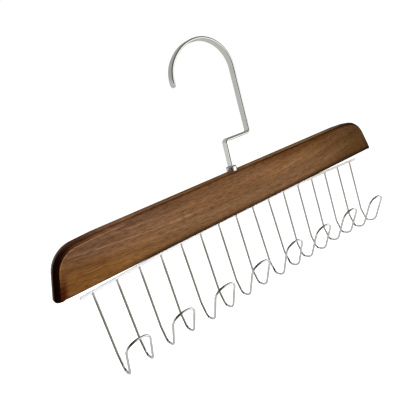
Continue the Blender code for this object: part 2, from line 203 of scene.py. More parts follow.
# %% Add the shared parts of a finish
class Finish(Tree):
    """A material with one shader, built in its own tree."""

    def __init__(self, name):
        self.material = bpy.data.materials.new(name)
        self.material.use_nodes = True
        super().__init__(self.material.node_tree)
        self.shader = self.nodes["Principled BSDF"]

    def place(self):
        return self.add("ShaderNodeTexCoord", output="Object")

    def size_of(self, value):
        return self.add("ShaderNodeMath", {"operation": "ABSOLUTE"}, {0: value})

    def noise(self, stretch, detail, roughness=0.5, shift=(0, 0, 0), warp=0.0, place=None):
        where = self.add("ShaderNodeMapping", {},
                         {"Vector": place or self.place(), "Scale": stretch, "Location": shift})
        return self.add("ShaderNodeTexNoise", {}, {"Vector": where, "Scale": 1.0, "Detail": detail,
                                                  "Roughness": roughness, "Distortion": warp})

    def mix(self, share, first, second):
        return self.add("ShaderNodeMix", {"data_type": "RGBA"}, {0: share, 6: first, 7: second}, output=2)

    def tinge(self, share, colour, factor):
        """Multiplies a colour by a factor of three parts, where the share is 1."""
        return self.add("ShaderNodeMix", {"data_type": "RGBA", "blend_type": "MULTIPLY"},
                        {0: share, 6: colour, 7: factor}, output=2)

    def bump(self, height, distance):
        return self.add("ShaderNodeBump", {}, {"Height": height, "Distance": distance, "Strength": 1.0})

    def set(self, **inputs):
        for name, value in inputs.items():
            self.feed(self.shader.inputs[name.replace("_", " ").title().replace("Ior", "IOR")], value)
        return self.material


def dress(piece, material):
    """Gives a piece one finish in place of those it came with."""
    piece.data.materials.clear()
    piece.data.materials.append(material)


print("finish methods ready:", [name for name in vars(Finish) if not name.startswith("_")])

# %% [markdown]
# ## The bar's wood: where each point lies
# The bar is a pale hardwood stained walnut and lacquered. Its growth rings bow, so the grain sags a
# little towards the middle of the bar. The grain could be a picture wrapped round the bar, but noise
# in the object's own space runs on over the rounded edges as real grain does. The places are worked
# out first: how far a point is below the top, and below a bowed growth ring, how far behind the
# nearer face, which is 0 on the flat and grows over the rounding, and how far from the middle.

# %% Find the bar's places
GRAIN_BOW = 0.4
RIM_FADES_IN = (0.0010, 0.0026)
END_GRAIN_FADES_IN = (0.150, 0.169)
bar_low, bar_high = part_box("wood_bar")
bar_half_length = (bar_high.x - bar_low.x) / 2
bar_half_thickness = (bar_high.y - bar_low.y) / 2

wood = Finish("stained_wood")
side, depth, height = wood.split(wood.place())
below_top = bar_high.z - height
above_foot = height - bar_low.z
up = above_foot / (bar_high.z - bar_low.z)
ring_drop = below_top + GRAIN_BOW * side * side
grain_place = wood.add("ShaderNodeCombineXYZ", {}, {"X": side, "Y": depth, "Z": ring_drop})
behind_face = bar_half_thickness - wood.size_of(depth)
from_middle = wood.size_of(side - (bar_low.x + bar_high.x) / 2)
rim = wood.step(behind_face, *RIM_FADES_IN)
end_grain = wood.step(from_middle, *END_GRAIN_FADES_IN)
print("bar from", [round(c, 4) for c in bar_low], "to", [round(c, 4) for c in bar_high])

# %% [markdown]
# ## The bar's wood: grain
# Grain is fine open pores, longer streaks, and broad bands of early and late growth. Here the three
# are one kind of noise at three widths, all longer than they are wide. A fourth noise is for the two
# browns that the stain starts from, and a fifth for smudges. The last, the wander, is a slow one: it
# bends the edges of what comes later, because nothing in wood runs quite straight.

# %% Grow the grain
broad = wood.noise((9, 40, 75), detail=3, roughness=0.55, warp=0.3, place=grain_place)
wander = wood.noise((16, 20, 60), detail=1, shift=(5, 5, 5), place=grain_place) - 0.5
bands = wood.noise((7, 60, 260), detail=3, roughness=0.6, shift=(3, 1, 2), place=grain_place)
streaks = wood.noise((30, 300, 900), detail=4, roughness=0.7, shift=(7, 2, 5), place=grain_place)
pores = wood.noise((180, 900, 2100), detail=3, roughness=0.7, shift=(1, 9, 4), place=grain_place)
smudges = wood.noise((60, 90, 330), detail=3, roughness=0.6, shift=(11, 3, 8), place=grain_place)
print("noise nodes", sum(node.bl_idname == "ShaderNodeTexNoise" for node in wood.nodes))

# %% [markdown]
# ## The bar's wood: the first coat of stain
# The stain is brown, purplish in the heartwood to the upper left and golden in the sapwood to the
# lower left. One brown would look painted, so the noise mixes two in broad patches, and the wander
# bends the borders of heart and sap. A soft border is written as two places, where the change
# begins and where it is complete.

# %% Lay the first coat
DEEP_BROWN = (0.155, 0.072, 0.030)
PALE_BROWN = (0.195, 0.096, 0.041)
BROWNS_MEET = (0.3, 0.7)
HEARTWOOD = (0.155, 0.078, 0.042)
HEART_SHARE = 0.75
HEART_BORDER = (0.0219, 0.0235)
HEART_WANDER = 0.004
HEART_FADES_OUT = (-0.13, -0.03)
SAPWOOD = (0.190, 0.080, 0.018)
SAP_SHARE = 0.85
SAP_BORDER = (0.0223, 0.0363)
SAP_WANDER = 0.01
SAP_FADES_OUT = (-0.15, -0.05)

heart = 1 - wood.step(ring_drop - HEART_WANDER * wander, *HEART_BORDER)
sap = wood.step(ring_drop - SAP_WANDER * wander, *SAP_BORDER)
# This colour starts as the stain, and the cells below also add painted shade, painted highlights and
# painted sheen to it.
stain_and_painted_light = wood.mix(wood.step(broad, *BROWNS_MEET), DEEP_BROWN, PALE_BROWN)
stain_and_painted_light = wood.mix(heart * (1 - wood.step(side, *HEART_FADES_OUT)) * HEART_SHARE, stain_and_painted_light, HEARTWOOD)
stain_and_painted_light = wood.mix(sap * (1 - wood.step(side, *SAP_FADES_OUT)) * SAP_SHARE, stain_and_painted_light, SAPWOOD)
heart_foot = HEART_BORDER[1] - GRAIN_BOW * HEART_FADES_OUT[0] ** 2
print("heartwood down to", round(1000 * heart_foot, 1), "mm below the top, at the left")

# %% [markdown]
# ## The bar's wood: later tinges
# After the first coat nearly everything multiplies what is there, so each tinge is a mask and a
# factor for red, green and blue. Mixing in more colours instead would wash out the grain below. The
# broad ones come first: the face is made darker towards the right, at the left end and along the
# top. Then come the light and the dark side of each kind of grain, and a few smudges to the upper
# left.

# %% Tinge the face
RIGHT_WIPE = (0.070, 0.185)
RIGHT_WIPE_SLANT = 0.9
RIGHT_WIPE_WANDER = 0.02
LEFT_WIPE = (-0.17, -0.09)
TOP_WIPE = (0.0016, 0.0100)
TOP_WIPE_STARTS = (-0.12, -0.088)
SMUDGE_EDGE = (0.44, 0.62)
SMUDGED_RINGS = (0.0053, 0.0088, 0.0098, 0.0133)
SMUDGED_LENGTH = (-0.14, -0.12, -0.08, -0.05)

toward_right = wood.step(side + RIGHT_WIPE_SLANT * below_top + RIGHT_WIPE_WANDER * wander, *RIGHT_WIPE)
toward_left = 1 - wood.step(side, *LEFT_WIPE)
toward_top = (1 - wood.step(below_top, *TOP_WIPE)) * wood.step(side, *TOP_WIPE_STARTS)
smudged = (wood.step(smudges, *SMUDGE_EDGE) * wood.band(ring_drop, *SMUDGED_RINGS)
           * wood.band(side, *SMUDGED_LENGTH))
wipes = (
    (toward_right, (0.40, 0.375, 0.28)),
    (toward_left, (0.82, 0.78, 0.74)),
    (toward_top, (0.62, 0.60, 0.60)),
    (wood.step(bands, 0.50, 0.70), (1.18, 1.20, 1.24)),
    (wood.step(1 - bands, 0.50, 0.72), (0.82, 0.80, 0.78)),
    (wood.step(streaks, 0.50, 0.70), (1.22, 1.25, 1.30)),
    (wood.step(1 - streaks, 0.50, 0.70), (0.80, 0.76, 0.72)),
    (wood.step(pores, 0.50, 0.66), (0.54, 0.50, 0.45)),
    (wood.step(1 - pores, 0.50, 0.66), (1.28, 1.34, 1.42)),
    (smudged, (0.62, 0.62, 0.68)),
)
for mask, factor in wipes:
    stain_and_painted_light = wood.tinge(mask, stain_and_painted_light, factor)
print("wipes", len(wipes))

# %% [markdown]
# ## The bar's wood: growth lines
# A few single growth lines stand out, light where dense wood took little stain and dark where open
# wood took more. Noise could have such lines in it, but not in the places where this bar has them,
# so each is drawn: it is 1 along one bowed ring between two places along the bar.

# %% Draw the growth lines
LINE_WANDER = 0.0012
LINE_FADE = 0.02
GROWTH_LINES = (  # drop of the ring, half width, start, stop, factor
    (0.0195, 0.0009, -0.172, -0.042, (1.60, 1.70, 1.85)),
    (0.0173, 0.0008, 0.020, 0.075, (1.30, 1.35, 1.40)),
    (0.0348, 0.0008, -0.175, -0.130, (0.60, 0.55, 0.50)),
    (0.0213, 0.0022, 0.085, 0.185, (0.86, 0.84, 0.80)),
)


def growth_line(drop, half_width, start, stop):
    """1 along one growth ring between two places along the bar, fading at both ends."""
    away = wood.size_of(ring_drop + LINE_WANDER * wander - drop)
    along = wood.band(side, start, start + 2 * LINE_FADE, stop - LINE_FADE, stop)
    return (1 - wood.step(away, 0.0, half_width)) * along


for *line, factor in GROWTH_LINES:
    stain_and_painted_light = wood.tinge(growth_line(*line), stain_and_painted_light, factor)
light_line = [GROWTH_LINES[0][0] - GRAIN_BOW * x * x for x in (-0.12, -0.04)]
print("the light line lies", [round(1000 * drop, 1) for drop in light_line], "mm below the top")

# %% [markdown]
# ## The bar's wood: patches
# The face is darker in some places: along the top to the right, in the middle and near the right
# end. Round the collar the dark patch is a painted shadow of the collar, and under the rim to the
# right a band of painted shade is added. Each place is an oblong with soft edges. They could be
# one more noise, but that wouldn't lie where the bar is darker.

# %% Darken the patches
PATCH_WANDER = 0.01
PATCH_EDGE = 0.005
PATCH_END = 0.05
COLLAR_END = 0.012
ABOVE_THE_BAR = -0.010
PATCHES = (  # top and bottom as drops, left, right, length of the soft ends, factor
    (ABOVE_THE_BAR, 0.0125, 0.040, 0.130, PATCH_END, (0.74, 0.68, 0.54)),
    # a painted shadow of the collar on the wood
    (ABOVE_THE_BAR, 0.0010, -0.006, 0.006, COLLAR_END, (0.62, 0.50, 0.35)),
    (0.0195, 0.0315, -0.090, 0.085, PATCH_END, (0.83, 0.86, 0.90)),
    (0.0140, 0.0500, 0.135, 0.300, PATCH_END, (0.92, 0.91, 0.72)),
)
# a band of painted shade under the rim, to the right
UNDER_THE_RIM = (ABOVE_THE_BAR, 0.0045, 0.015, 0.135, PATCH_END)
UNDER_RIM_SHADE = (0.74, 0.64, 0.46)


def patch(top, bottom, left, right, soft_end):
    """1 inside an oblong on the face and 0 outside it, with soft edges."""
    drop = below_top + PATCH_WANDER * wander
    half_edge = PATCH_EDGE / 2
    half_end = soft_end / 2
    return (wood.band(drop, top - half_edge, top + half_edge, bottom - half_edge, bottom + half_edge)
            * wood.band(side, left - half_end, left + half_end, right - half_end, right + half_end))


for *oblong, factor in PATCHES:
    stain_and_painted_light = wood.tinge(patch(*oblong), stain_and_painted_light, factor)
stain_and_painted_light = wood.tinge(patch(*UNDER_THE_RIM) * (1 - rim), stain_and_painted_light, UNDER_RIM_SHADE)
print("patches", len(PATCHES) + 1)

# %% [markdown]
# ## The bar's wood: rim and foot
# The rounded rim is made lighter with painted light, most of all to the right, where a cool painted
# sheen is added, and a little darker at the left shoulder with painted shade. A thin dark line of
# painted shade follows the start of the rounding, and another the foot. They could be edges picked
# out on the mesh, but a mask by depth behind the face finds the rounding by itself.

# %% Paint light and shade on the rim and the foot
FOOT_LINE = (0.0012, 0.0056)
FOOT_LINE_STARTS = (-0.15, -0.09)
RIGHT_RIM = (0.0, 0.08)
LEFT_RIM = (-0.125, -0.095)
EDGE_LINE = (0.0004, 0.0010, 0.0014, 0.0026)

foot_line = (1 - wood.step(above_foot, *FOOT_LINE)) * wood.step(side, *FOOT_LINE_STARTS)
# painted shade on the foot, painted light on the rim with a painted sheen on its right part, and painted
# shade at the left shoulder and along the start of the rounding
edge_light_and_shade = (
    (foot_line, (0.27, 0.24, 0.16)),
    (rim, (1.37, 1.44, 1.36)),
    (rim * wood.step(side, *RIGHT_RIM), (1.20, 1.65, 2.30)),
    (rim * (1 - wood.step(side, *LEFT_RIM)), (0.74, 0.68, 0.64)),
    (wood.band(behind_face, *EDGE_LINE), (0.48, 0.36, 0.24)),
)
for mask, factor in edge_light_and_shade:
    stain_and_painted_light = wood.tinge(mask, stain_and_painted_light, factor)
print("the dark foot is", round(1000 * FOOT_LINE[1], 1), "mm high")

# %% [markdown]
# ## The bar's wood: ends
# The ends are darkest with painted shade, and painted shade reaches in from the lower corners as a
# halo. A thin light border of painted highlight lies beside each end, and towards the back the ends
# carry a brown-grey painted sheen. This is light and shade that the plain room below doesn't give,
# held in the colour instead.
# The ends slant, so the halo goes by the distance from the slant, and the rest by the distance
# from the bar's middle.

# %% Paint shade and sheen on the ends
END_SLANT_RUN = 0.32
HALO_WIDTH = (0.0055, 0.0105)
HALO_HEIGHT = (0.15, 0.55)
HALO_FADES_OUT = (0.0, 0.1)
HALO_LOSS = 0.6
PAST_EDGE = (0.00006, 0.00013)
DARKER_FROM = (0.118, 0.158)
BORDER_DEPTH = (0.000001, 0.00001, 0.00005, 0.00008)
BORDER_HEIGHT = (0.3, 0.5)
BORDER_FROM = (0.095, 0.130)
END_SHADE = (0.007, 0.002, 0.001)
END_SHARE = 0.97
BACK_SHEEN = (0.190, 0.140, 0.115)
BACK_SHARE = 0.9
BACK_RIM = (0.0006, 0.0030)
BACK_HALF = (-0.0035, 0.0040)

inside_end = bar_half_length - END_SLANT_RUN * above_foot - from_middle
halo = (1 - wood.step(inside_end, *HALO_WIDTH)) * (1 - wood.step(up, *HALO_HEIGHT))
halo = halo * (1 - HALO_LOSS * wood.step(side, *HALO_FADES_OUT))
past_edge = wood.step(behind_face, *PAST_EDGE)
border = wood.band(behind_face, *BORDER_DEPTH) * wood.step(up, *BORDER_HEIGHT)
back_rim = wood.step(behind_face, *BACK_RIM) * wood.step(depth, *BACK_HALF)

# painted shade in the lower corners, a painted highlight beside each end, painted shade over the ends and a
# painted sheen at their back
stain_and_painted_light = wood.tinge(halo, stain_and_painted_light, (0.30, 0.14, 0.12))
stain_and_painted_light = wood.tinge(wood.step(from_middle, *BORDER_FROM) * border, stain_and_painted_light, (2.10, 2.05, 2.00))
stain_and_painted_light = wood.tinge(wood.step(from_middle, *DARKER_FROM) * past_edge, stain_and_painted_light, (0.42, 0.33, 0.28))
stain_and_painted_light = wood.mix(end_grain * past_edge * END_SHARE, stain_and_painted_light, END_SHADE)
stain_and_painted_light = wood.mix(end_grain * back_rim * BACK_SHARE, stain_and_painted_light, BACK_SHEEN)
print("the ends slant by", round(math.degrees(math.atan(END_SLANT_RUN)), 1), "degrees")

# %% [markdown]
# ## The bar's wood: lacquer
# The lacquer is a thin satin coat, so the shader's coat has little weight. It is left off the ends,
# which soak it up and stay dull. The streaks make the wood under it rougher in places, and with the
# pores they stand out as a relief. That is too fine to model, so a bump shades it.

# %% Lacquer the wood
WOOD_ROUGHNESS = 0.42
STREAK_ROUGHNESS = 0.2
LACQUER_WEIGHT = 0.07
LACQUER_ROUGHNESS = 0.25
RELIEF = 0.00004
STREAK_RELIEF = 0.6
PORE_RELIEF = 0.4

wood_finish = wood.set(
    base_color=stain_and_painted_light,
    roughness=WOOD_ROUGHNESS + STREAK_ROUGHNESS * streaks,
    coat_weight=LACQUER_WEIGHT * (1 - end_grain * past_edge),
    coat_roughness=LACQUER_ROUGHNESS,
    specular_ior_level=0.0,
    normal=wood.bump(streaks * STREAK_RELIEF + pores * PORE_RELIEF, RELIEF))
dress(nodes["wood_bar"], wood_finish)
print("wood nodes", len(wood.nodes))

# %% [markdown]
# ## Bright plate
# The hook, the collar and the wires are chromed. Chrome has hardly any colour of its own: it shows
# the room. One material could serve all of them, but what tells one plated piece from another is
# how it was made before plating: rolled strip keeps faint lines along its length, drawn wire is a
# little rougher, and turned parts carry fine rings. So one function mixes a finish from a few steps
# of noise, and each piece calls it with its own marks. It also takes shades, each a mask and a
# factor, for places where painted highlights or painted shade make the plate brighter or duller.

# %% Mix a plated finish
CLOUD_SHARE = 0.5
CLOUD_LEVEL = 0.88
TINT_EDGE = (0.42, 0.62)
COOL_TINT = (0.96, 0.98, 1.04)
MARKS_ROUGHNESS = 0.16


def plate(name, colour, roughness, stretch, marks_depth, metallic=1.0, gloss=0.5, shades=()):
    """A metal with fine marks, a cloudy tone, and painted highlights and shade by place."""
    finish = Finish(name)
    marks = finish.noise(stretch, detail=3, roughness=0.6)
    cloud = finish.noise((60, 60, 60), detail=2, roughness=0.5, shift=(2, 5, 1))
    tint = finish.noise((140, 140, 90), detail=2, roughness=0.6, shift=(8, 1, 6))
    tone = finish.mix(cloud * CLOUD_SHARE, colour, tuple(CLOUD_LEVEL * part for part in colour))
    tone = finish.tinge(finish.step(tint, *TINT_EDGE), tone, COOL_TINT)
    for mask, factor in shades:
        tone = finish.tinge(mask(finish), tone, factor)
    return finish.set(base_color=tone, metallic=metallic, specular_ior_level=gloss,
                      roughness=roughness + MARKS_ROUGHNESS * cloud * marks,
                      normal=finish.bump(marks, marks_depth))


print("plated finish ready")

# %% [markdown]
# ## The strip, the collar and the rail
# The strip and the collar are bright plate, and the collar is turned. The plain room below gives
# plate fewer lights than a real studio would, so some are painted into the finish as painted
# highlights, by place on the piece: the strip is brighter on its shank and at its tip. The rail
# hardly stands out from a white ground, so it is pale and satin and not metallic, a painted
# reflection of the white ground, with painted shade a little darker towards its right end. More
# lamps could do the same, but they would light the bar too. Each shade is a function that adds its
# mask to a finish.

# %% Finish the strip, the collar and the rail
SHANK_SHADE = (0.022, 0.032)
TIP_SIDE = (-0.026, -0.018)
TIP_HEIGHT = (-0.044, -0.030)
RAIL_SHADE = (0.02, 0.11)


def on_the_shank(finish):
    """1 from the collar to the crank and 0 above it."""
    height_now = finish.split(finish.place())[2]
    return 1 - finish.step(height_now, *(bar_high.z + rise for rise in SHANK_SHADE))


def at_the_tip(finish):
    """1 on the last bend of the arch and 0 on the rest of the strip."""
    side_now, _, height_now = finish.split(finish.place())
    return (1 - finish.step(side_now, *TIP_SIDE)) * (1 - finish.step(height_now, *TIP_HEIGHT))


def toward_right_end(finish):
    """0 on the left half of the rail and 1 near its right end."""
    return finish.step(finish.split(finish.place())[0], *RAIL_SHADE)


# the shank and tip shades are painted highlights
strip_plate = plate("strip_chrome", colour=(0.86, 0.845, 0.775), roughness=0.16,
                    stretch=(90, 900, 90), marks_depth=0.000003,
                    shades=((on_the_shank, (1.30, 1.28, 1.26)), (at_the_tip, (1.50, 1.50, 1.50))))
collar_plate = plate("ferrule_chrome", colour=(0.92, 0.89, 0.83), roughness=0.08,
                     stretch=(40, 40, 2500), marks_depth=0.000004)
# the rail's pale colour is a painted reflection of the white ground, with painted shade towards its right
# end
rail_plate = plate("rail_chrome", colour=(1.0, 1.0, 0.98), roughness=0.50,
                   stretch=(60, 900, 900), marks_depth=0.000005, metallic=0.0, gloss=0.1,
                   shades=((toward_right_end, (0.70, 0.68, 0.60)),))
print("mixed", strip_plate.name, collar_plate.name, rail_plate.name)

# %% [markdown]
# ## The wires
# The wires are drawn steel, bent and then plated, and for the same reason their lights and darks are
# painted into the finish. The straight legs are darkened with painted shade, most on the left and
# least near the welds. In each rear bend a painted highlight, a spot of painted shade and a longer
# painted highlight follow each other, and each loop in front has painted shade on its left half
# and a painted highlight on its right half. The hooks are alike, so the masks go by how far forward
# a point lies. Along a loop they go by the distance from its left leg, which a Wrap starts from 0
# again at each hook.

# %% Finish the wires
HOOK_COUNT = 8
LEG_PITCH = 0.020
FIRST_LEG = -(HOOK_COUNT - 0.5) * LEG_PITCH
LEG_PLANE = (-0.0042, -0.0032)
WELD_SHADE = (-0.015, -0.004)
WELD_LOSS = 0.9
LEGS_FADE_OUT = (-0.13, 0.12)
LEGS_LOSS = 0.85
BEND_HIGHLIGHT = (-0.0052, -0.0047, -0.0038, -0.0033)
BEND_SHADE = (-0.0064, -0.0060, -0.0052, -0.0047)
BEND_HIGHLIGHT_RUN = (-0.0095, -0.0075, -0.0068, -0.0064)
LOOPS_END = (-0.0275, -0.0250)
LOOP_SHADE = (0.0022, 0.0036, 0.0072, 0.0100)
LOOP_HIGHLIGHT = (0.0100, 0.0140, 0.0215, 0.0225)


def on_the_legs(finish):
    """1 on the straight legs of the left hooks, less near the welds and towards the right."""
    side_now, forward_now, height_now = finish.split(finish.place())
    near_weld = finish.step(height_now, *(bar_low.z + rise for rise in WELD_SHADE))
    to_the_right = finish.step(side_now, *LEGS_FADE_OUT)
    on_a_leg = finish.step(forward_now, *LEG_PLANE)
    return on_a_leg * (1 - WELD_LOSS * near_weld) * (1 - LEGS_LOSS * to_the_right)


def in_the_bends(places):
    """A shade across the rear bends, with its places from front to back."""
    def mask(finish):
        return finish.band(finish.split(finish.place())[1], *places)
    return mask


def on_the_loops(places):
    """A shade on the loops in front, with its places counted from each hook's left leg."""
    def mask(finish):
        side_now, forward_now, _ = finish.split(finish.place())
        across = finish.add("ShaderNodeMath", {"operation": "WRAP"},
                            {0: side_now - FIRST_LEG, 1: 0.0, 2: 2 * LEG_PITCH})
        return finish.band(across, *places) * (1 - finish.step(forward_now, *LOOPS_END))
    return mask


# painted shade on the legs, and painted highlights and shade in the rear bends and on the loops
wire_plate = plate("wire_chrome", colour=(0.80, 0.79, 0.73), roughness=0.14,
                   stretch=(500, 500, 120), marks_depth=0.000005,
                   shades=((on_the_legs, (0.42, 0.42, 0.36)),
                           (in_the_bends(BEND_HIGHLIGHT), (1.25, 1.26, 1.30)),
                           (in_the_bends(BEND_SHADE), (0.14, 0.12, 0.12)),
                           (in_the_bends(BEND_HIGHLIGHT_RUN), (1.22, 1.22, 1.28)),
                           (on_the_loops(LOOP_SHADE), (0.38, 0.34, 0.33)),
                           (on_the_loops(LOOP_HIGHLIGHT), (1.25, 1.26, 1.36))))
print("wire nodes", len(wire_plate.node_tree.nodes))

# %% [markdown]
# ## Steel and brass
# The stem and the pegs are steel and the washer is brass. They hardly show while the hanger is
# whole, so they need no function of their own: the same one serves them, with more roughness and
# deeper marks.

# %% Finish the solids that stay
stem_steel = plate("stem_steel", colour=(0.56, 0.56, 0.55), roughness=0.26,
                   stretch=(60, 60, 2500), marks_depth=0.000010)
washer_brass = plate("washer_brass", colour=(0.60, 0.48, 0.27), roughness=0.30,
                     stretch=(700, 700, 300), marks_depth=0.000010)
peg_steel = plate("peg_steel", colour=(0.48, 0.48, 0.49), roughness=0.34,
                  stretch=(900, 900, 900), marks_depth=0.000012)
for node_name, finish in (("swivel_ferrule", collar_plate), ("hook_stem", stem_steel),
                          ("stem_washer", washer_brass), ("rack_peg_left", peg_steel),
                          ("rack_peg_right", peg_steel)):
    dress(nodes[node_name], finish)
print("mixed", stem_steel.name, washer_brass.name, peg_steel.name)

# %% [markdown]
# ## Bending along a path
# A bender feeds bar or wire forward and bends it round a former: straight, bend, straight. The path
# of its middle line is written the same way, which a list of points would hide. A heading of 0
# degrees is up, and a positive bend turns it clockwise. The bends are much finer here than in the
# solids, because plate shows every flat as a kink in what it reflects.

# %% Follow a bent centreline
BEND_STEP = 3.0


class BendPath:
    """Notes the points of a centreline that goes straight or bends in one plane."""

    def __init__(self, start, heading):
        self.points = [start]
        self.heading = heading

    def advance(self, distance, half_turn):
        sideways_now, up_now = self.points[-1]
        angle = math.radians(self.heading + half_turn)
        self.points.append((sideways_now + distance * math.sin(angle), up_now + distance * math.cos(angle)))
        self.heading += 2 * half_turn

    def straight(self, distance):
        if distance > 0:
            self.advance(distance, 0.0)

    def bend(self, radius, degrees):
        count = max(1, math.ceil(abs(degrees) / BEND_STEP))
        chord = 2 * radius * math.sin(math.radians(abs(degrees) / count) / 2)
        for _ in range(count):
            self.advance(chord, degrees / count / 2)


def bend_allowance(radius, degrees):
    """How much of a straight run a bend takes up, measured from the sharp corner."""
    return radius * math.tan(math.radians(abs(degrees)) / 2)


print("a right angle takes", math.ceil(90 / BEND_STEP), "steps")

# %% [markdown]
# ## From rings to a mesh
# Strip, rail and wire are all a ring of points carried along a line. A curve object with a bevel
# could make them, but here the ring may change on the way, which rounds a tip, eases an end and
# swells a weld. Two functions do what they share: one builds the walls and caps, and the other
# turns the shape into a smooth object.

# %% Build walls, caps and objects
def join_rings(shape, rings):
    """Walls between rings of points of one length, and a cap at each end."""
    for first, second in zip(rings, rings[1:]):
        for i in range(len(first)):
            j = (i + 1) % len(first)
            shape.faces.new((first[i], first[j], second[j], second[i]))
    shape.faces.new(rings[0])
    shape.faces.new(list(reversed(rings[-1])))


def mesh_from(name, shape):
    """Turns a closed shape into a smooth object in the scene, with its faces pointing out."""
    bmesh.ops.recalc_face_normals(shape, faces=shape.faces)
    mesh = bpy.data.meshes.new(name)
    shape.to_mesh(mesh)
    shape.free()
    mesh.shade_smooth()
    made = bpy.data.objects.new(name, mesh)
    bpy.context.scene.collection.objects.link(made)
    return made


print("mesh functions ready")

# %% [markdown]
# ## The strip hook: its path
# The hook is flat steel bar bent on its flat side: a cranked shank, a straight leg and a round arch
# of three radii. Its path is worked out from the sharp corners, as on a drawing, and each bend then
# takes its allowance from the straight runs beside it. The sizes are those of the solid.

# %% Bend the strip's path
BAR_TOP = bar_high.z
STRIP_FOOT = 0.002
SHANK_LEAN = 4.0
LEG_LEAN = 2.7
SHANK_UPRIGHT_TOP = 0.005
SHANK_BEND = 0.02
CRANK_HEIGHT = 0.0270
CRANK_REACH = 0.0285
CRANK_BEND = 0.0028
LEG_LENGTH = 0.0571
ARCH_RADII = (0.0283, 0.0364, 0.0266)
ARCH_SWEEPS = (94.3, 47.9, 46.5)


def strip_path():
    path = BendPath((0.0, STRIP_FOOT), 0.0)
    path.straight(SHANK_UPRIGHT_TOP - STRIP_FOOT)
    path.bend(SHANK_BEND, SHANK_LEAN)
    sideways_now, up_now = path.points[-1]
    rise = (CRANK_HEIGHT - up_now) / math.cos(math.radians(SHANK_LEAN))
    corner = sideways_now + rise * math.sin(math.radians(SHANK_LEAN))
    crank_turn = 90 - SHANK_LEAN
    leg_turn = 90 - LEG_LEAN
    crank_allowance = bend_allowance(CRANK_BEND, crank_turn)
    leg_allowance = bend_allowance(CRANK_BEND, leg_turn)
    path.straight(rise - crank_allowance)
    path.bend(CRANK_BEND, crank_turn)
    path.straight(CRANK_REACH - corner - crank_allowance - leg_allowance)
    path.bend(CRANK_BEND, -leg_turn)
    path.straight(LEG_LENGTH - leg_allowance)
    for radius, sweep_angle in zip(ARCH_RADII, ARCH_SWEEPS):
        path.bend(radius, -sweep_angle)
    return [Vector((x, 0, BAR_TOP + z)) for x, z in path.points]


strip_centre = strip_path()
print("strip path", len(strip_centre), "points, top at", round(max(p.z for p in strip_centre), 4))

# %% [markdown]
# ## The strip hook: its section
# The strip has rounded edges and a half-round tip. It could be a curve with a bevel profile, but a
# loft of sections is easier to end in a round tip: near the tip each section is narrowed to fit a
# half circle.

# %% Loft the strip hook
STRIP_WIDTH = 0.007
STRIP_THICKNESS = 0.0025
STRIP_EDGE_ROUND = 0.0011
MOST_ROUNDED = 0.9
CORNER_POINTS = 4
TIP_STEPS = 10
TIP_SWEEP = 84


def cut_back(centre, distance):
    """The centreline without its last stretch of this length."""
    kept = list(centre)
    while distance > 0:
        end = kept.pop()
        chord = end - kept[-1]
        if chord.length > distance:
            kept.append(end - chord.normalized() * distance)
            break
        distance -= chord.length
    return kept


def strip_section(half_width, half_thickness):
    """A rounded oblong as (across the width, across the thickness), corner by corner."""
    radius = min(STRIP_EDGE_ROUND, half_width * MOST_ROUNDED, half_thickness * MOST_ROUNDED)
    points = []
    for corner in range(4):
        wide = (half_width - radius) * (1 if corner in (0, 3) else -1)
        thick = (half_thickness - radius) * (1 if corner in (0, 1) else -1)
        for i in range(CORNER_POINTS):
            angle = math.radians(90 * corner + 90 / (CORNER_POINTS - 1) * i)
            points.append((wide + radius * math.cos(angle), thick + radius * math.sin(angle)))
    return points


def make_strip_hook(centre):
    half_width = STRIP_WIDTH / 2
    half_thickness = STRIP_THICKNESS / 2
    stations = [(point, half_width) for point in cut_back(centre, half_width)]
    for i in range(1, TIP_STEPS + 1):
        angle = math.radians(TIP_SWEEP) * i / TIP_STEPS
        point = cut_back(centre, half_width * (1 - math.sin(angle)))[-1]
        stations.append((point, half_width * math.cos(angle)))
    shape = bmesh.new()
    rings = []
    for i, (point, half) in enumerate(stations):
        before = stations[max(i - 1, 0)][0]
        after = stations[min(i + 1, len(stations) - 1)][0]
        forward = (after - before).normalized()
        outward = Vector((forward.z, 0, -forward.x))
        rings.append([shape.verts.new(point + Vector((0, wide, 0)) + outward * thick)
                      for wide, thick in strip_section(half, half_thickness)])
    join_rings(shape, rings)
    return mesh_from("strip_hook", shape)


strip_hook = make_strip_hook(strip_centre)
dress(strip_hook, strip_plate)
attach(strip_hook, "hook")
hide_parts("hook_strip")
print("strip hook faces", len(strip_hook.data.polygons))

# %% [markdown]
# ## The rack's rail
# The rail is one straight rod under the bar. It is pegged near the middle and its free ends hang a
# little lower, which is why daylight shows above it at the ends. A cylinder would be straight, with
# sharp ends, so a ring of points is carried along its middle line, and the first and last rings
# shrink to ease the ends.

# %% Sweep the rail
RAIL_RADIUS = 0.00125
RAIL_HALF_LENGTH = 0.160
RAIL_BOW = 0.0046
RAIL_TOUCH = 0.0003
RAIL_STEPS = 40
RAIL_EASE = 0.0004
EASE_STEPS = 6
ROUND_SIDES = 20
BAR_BOTTOM = bar_low.z


def rail_height(x):
    return BAR_BOTTOM - RAIL_TOUCH - RAIL_RADIUS - RAIL_BOW * (x / RAIL_HALF_LENGTH) ** 2


def rail_stations():
    """Places along the rail from its left end, and its radius there, with both ends eased."""
    length = 2 * RAIL_HALF_LENGTH
    angles = [math.radians(90 / EASE_STEPS * i) for i in range(EASE_STEPS + 1)]
    ease = [(RAIL_EASE * (1 - math.cos(a)), RAIL_RADIUS - RAIL_EASE * (1 - math.sin(a))) for a in angles]
    middle = [(length * i / RAIL_STEPS, RAIL_RADIUS) for i in range(1, RAIL_STEPS)]
    return ease + middle + [(length - along, radius) for along, radius in reversed(ease)]


